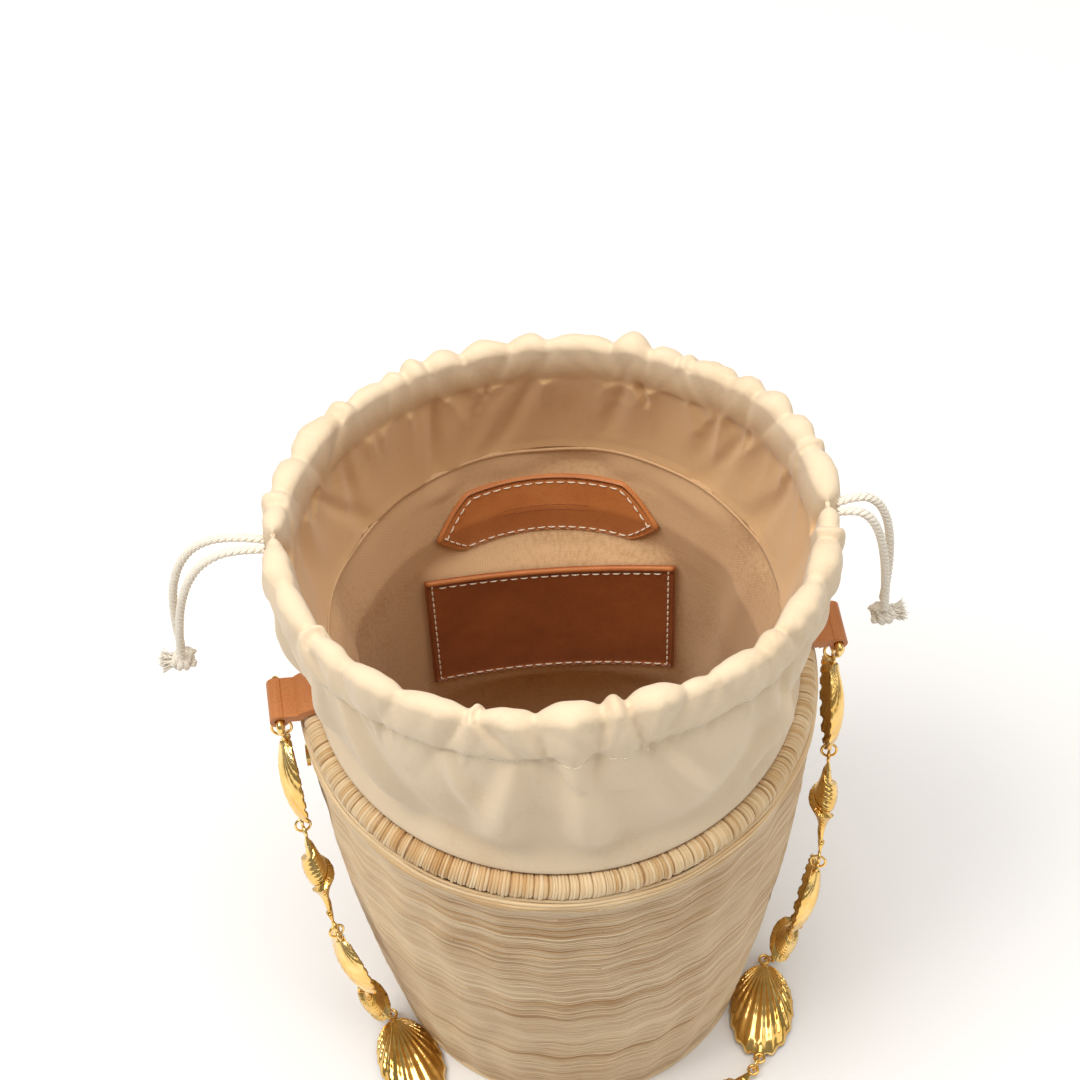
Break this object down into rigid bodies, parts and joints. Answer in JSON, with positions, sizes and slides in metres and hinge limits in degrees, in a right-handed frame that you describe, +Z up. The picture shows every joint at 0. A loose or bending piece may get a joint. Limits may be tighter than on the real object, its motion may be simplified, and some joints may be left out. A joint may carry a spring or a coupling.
{
  "type": "bucket bag",
  "caption": "Round woven straw basket with a gathered cotton drawstring collar, a lining with leather pocket and patch, and a golden shell chain strap.",
  "frame": {"origin": "centre of the basket's underside, on the surface it stands on", "axes": "+Z up the basket, -Y to the front where the strap lies, +X to the right-hand tab"},
  "size_m": [0.2466, 0.2024, 0.288],
  "materials": {
    "straw": "fine woven straw, satin",
    "rim_straw": "wrapped straw, satin",
    "cotton_canvas": "soft plain cotton, matt",
    "lining_twill": "cotton twill, matt",
    "leather_tan": "smooth tan leather, satin",
    "leather_brown": "smooth brown leather, satin",
    "gold": "polished yellow gold plate",
    "cord_cotton": "twisted cotton cord, matt"
  },
  "bodies": {
    "root": {"basket_wall": "straw", "basket_base": "straw", "rim_coil": "rim_straw", "rim_band": "rim_straw", "liner_bag": "lining_twill", "liner_collar": "cotton_canvas", "label_patch": "leather_tan", "card_pocket": "leather_brown", "casing_cord_upper": "cord_cotton", "casing_cord_lower": "cord_cotton", "tab_left": "leather_tan", "rivet_left": "gold", "d_ring_left": "gold", "tab_right": "leather_tan", "rivet_right": "gold", "d_ring_right": "gold"},
    "drawstring_left": {"drawstring_left_front": "cord_cotton", "drawstring_left_back": "cord_cotton", "drawstring_left_knot": "cord_cotton"},
    "drawstring_right": {"drawstring_right_front": "cord_cotton", "drawstring_right_back": "cord_cotton", "drawstring_right_knot": "cord_cotton"},
    "strap_left_1": {"jump_ring_01": "gold"},
    "strap_left_2": {"jump_ring_02": "gold"},
    "strap_left_3": {"jump_ring_03": "gold"},
    "strap_left_4": {"jump_ring_04": "gold"},
    "strap_front": {"jump_ring_05": "gold", "jump_ring_06": "gold", "jump_ring_07": "gold", "jump_ring_08": "gold", "jump_ring_09": "gold", "jump_ring_10": "gold"},
    "strap_right_1": {"jump_ring_14": "gold"},
    "strap_right_2": {"jump_ring_13": "gold"},
    "strap_right_3": {"jump_ring_12": "gold"},
    "strap_right_4": {"jump_ring_11": "gold"},
    "shell_01": {"shell_01_cockle": "gold"},
    "shell_02": {"shell_02_whelk": "gold"},
    "shell_03": {"shell_03_cockle": "gold"},
    "shell_04": {"shell_04_whelk": "gold"},
    "shell_05": {"shell_05_cockle": "gold"},
    "shell_06": {"shell_06_whelk": "gold"},
    "shell_07": {"shell_07_cockle": "gold"},
    "shell_08": {"shell_08_whelk": "gold"},
    "shell_09": {"shell_09_cockle": "gold"},
    "shell_10": {"shell_10_whelk": "gold"},
    "shell_11": {"shell_11_cockle": "gold"},
    "shell_12": {"shell_12_whelk": "gold"},
    "shell_13": {"shell_13_cockle": "gold"}
  },
  "joints": [
    {"name": "strap_swing", "type": "hinge", "parent": "root", "child": "strap_left_1", "pos_m": [-0.0965, 0, 0.199], "axis": [-1, 0, 0], "range_deg": [0, 42]},
    {"name": "strap_bend_1", "type": "hinge", "parent": "strap_left_1", "child": "strap_left_2", "pos_m": [-0.09521, -0.01398, 0.1434], "axis": [-1, 0, 0], "range_deg": [0, 20]},
    {"name": "strap_bend_2", "type": "hinge", "parent": "strap_left_2", "child": "strap_left_3", "pos_m": [-0.08937, -0.03516, 0.1007], "axis": [-1, 0, 0], "range_deg": [0, 20]},
    {"name": "strap_bend_3", "type": "hinge", "parent": "strap_left_3", "child": "strap_left_4", "pos_m": [-0.08283, -0.03608, 0.0532], "axis": [-1, 0, 0], "range_deg": [0, 20]},
    {"name": "strap_right_swing", "type": "hinge", "parent": "root", "child": "strap_right_1", "pos_m": [0.0965, 0, 0.199], "axis": [-1, 0, 0], "range_deg": [0, 42]},
    {"name": "strap_right_bend_1", "type": "hinge", "parent": "strap_right_1", "child": "strap_right_2", "pos_m": [0.09521, -0.01398, 0.1434], "axis": [-1, 0, 0], "range_deg": [0, 20]},
    {"name": "strap_right_bend_2", "type": "hinge", "parent": "strap_right_2", "child": "strap_right_3", "pos_m": [0.08937, -0.03516, 0.1007], "axis": [-1, 0, 0], "range_deg": [0, 20]},
    {"name": "strap_right_bend_3", "type": "hinge", "parent": "strap_right_3", "child": "strap_right_4", "pos_m": [0.08283, -0.03608, 0.0532], "axis": [-1, 0, 0], "range_deg": [0, 20]},
    {"name": "strap_front_lift", "type": "hinge", "parent": "strap_left_4", "child": "strap_front", "pos_m": [-0.07796, -0.02597, 0.00677], "axis": [-1, 0, 0], "range_deg": [0, 14]},
    {"name": "shell_01_turn", "type": "hinge", "parent": "strap_left_1", "child": "shell_01", "pos_m": [-0.0958, -0.00897, 0.16409], "axis": [-0.0278, 0.2355, 0.9715], "range_deg": [-8, 8]},
    {"name": "shell_02_turn", "type": "hinge", "parent": "strap_left_2", "child": "shell_02", "pos_m": [-0.09208, -0.0255, 0.1195], "axis": [-0.1271, 0.4534, 0.8822], "range_deg": [-12, 12]},
    {"name": "shell_03_turn", "type": "hinge", "parent": "strap_left_3", "child": "shell_03", "pos_m": [-0.08573, -0.03623, 0.0743], "axis": [-0.1363, -0.0072, 0.9906], "range_deg": [-12, 12]},
    {"name": "shell_04_turn", "type": "hinge", "parent": "strap_left_4", "child": "shell_04", "pos_m": [-0.08008, -0.03075, 0.02742], "axis": [-0.0995, -0.2247, 0.9693], "range_deg": [-12, 12]},
    {"name": "shell_05_turn", "type": "hinge", "parent": "strap_front", "child": "shell_05", "pos_m": [-0.06946, -0.04607, 0.0039], "axis": [-0.2347, 0.9721, 0], "range_deg": [-4, 4]},
    {"name": "shell_06_turn", "type": "hinge", "parent": "strap_front", "child": "shell_06", "pos_m": [-0.04389, -0.08375, 0.0039], "axis": [-0.8086, 0.5884, 0], "range_deg": [-12, 12]},
    {"name": "shell_07_turn", "type": "hinge", "parent": "strap_front", "child": "shell_07", "pos_m": [0, -0.09802, 0.0039], "axis": [-1, 0, 0], "range_deg": [-12, 12]},
    {"name": "shell_08_turn", "type": "hinge", "parent": "strap_front", "child": "shell_08", "pos_m": [0.04389, -0.08375, 0.0039], "axis": [0.8086, 0.5884, 0], "range_deg": [-12, 12]},
    {"name": "shell_09_turn", "type": "hinge", "parent": "strap_front", "child": "shell_09", "pos_m": [0.06946, -0.04607, 0.0039], "axis": [0.2347, 0.9721, 0], "range_deg": [-4, 4]},
    {"name": "shell_10_turn", "type": "hinge", "parent": "strap_right_4", "child": "shell_10", "pos_m": [0.08008, -0.03075, 0.02742], "axis": [0.0995, -0.2247, 0.9693], "range_deg": [-12, 12]},
    {"name": "shell_11_turn", "type": "hinge", "parent": "strap_right_3", "child": "shell_11", "pos_m": [0.08573, -0.03623, 0.0743], "axis": [0.1363, -0.0072, 0.9906], "range_deg": [-12, 12]},
    {"name": "shell_12_turn", "type": "hinge", "parent": "strap_right_2", "child": "shell_12", "pos_m": [0.09208, -0.0255, 0.1195], "axis": [0.1271, 0.4534, 0.8822], "range_deg": [-12, 12]},
    {"name": "shell_13_turn", "type": "hinge", "parent": "strap_right_1", "child": "shell_13", "pos_m": [0.0958, -0.00897, 0.16409], "axis": [0.0278, 0.2355, 0.9715], "range_deg": [-8, 8]},
    {"name": "drawstring_left_swing", "type": "hinge", "parent": "root", "child": "drawstring_left", "pos_m": [-0.09135, 0.00799, 0.2795], "axis": [0.0872, 0.9962, 0], "range_deg": [0, 60]},
    {"name": "drawstring_right_swing", "type": "hinge", "parent": "root", "child": "drawstring_right", "pos_m": [0.09135, -0.00799, 0.2795], "axis": [-0.0872, -0.9962, 0], "range_deg": [0, 60]}
  ],
  "couplings": [
    {"joint": "strap_right_swing", "follows": "strap_swing", "ratio": 1},
    {"joint": "strap_right_bend_1", "follows": "strap_bend_1", "ratio": 1},
    {"joint": "strap_right_bend_2", "follows": "strap_bend_2", "ratio": 1},
    {"joint": "strap_right_bend_3", "follows": "strap_bend_3", "ratio": 1}
  ]
}
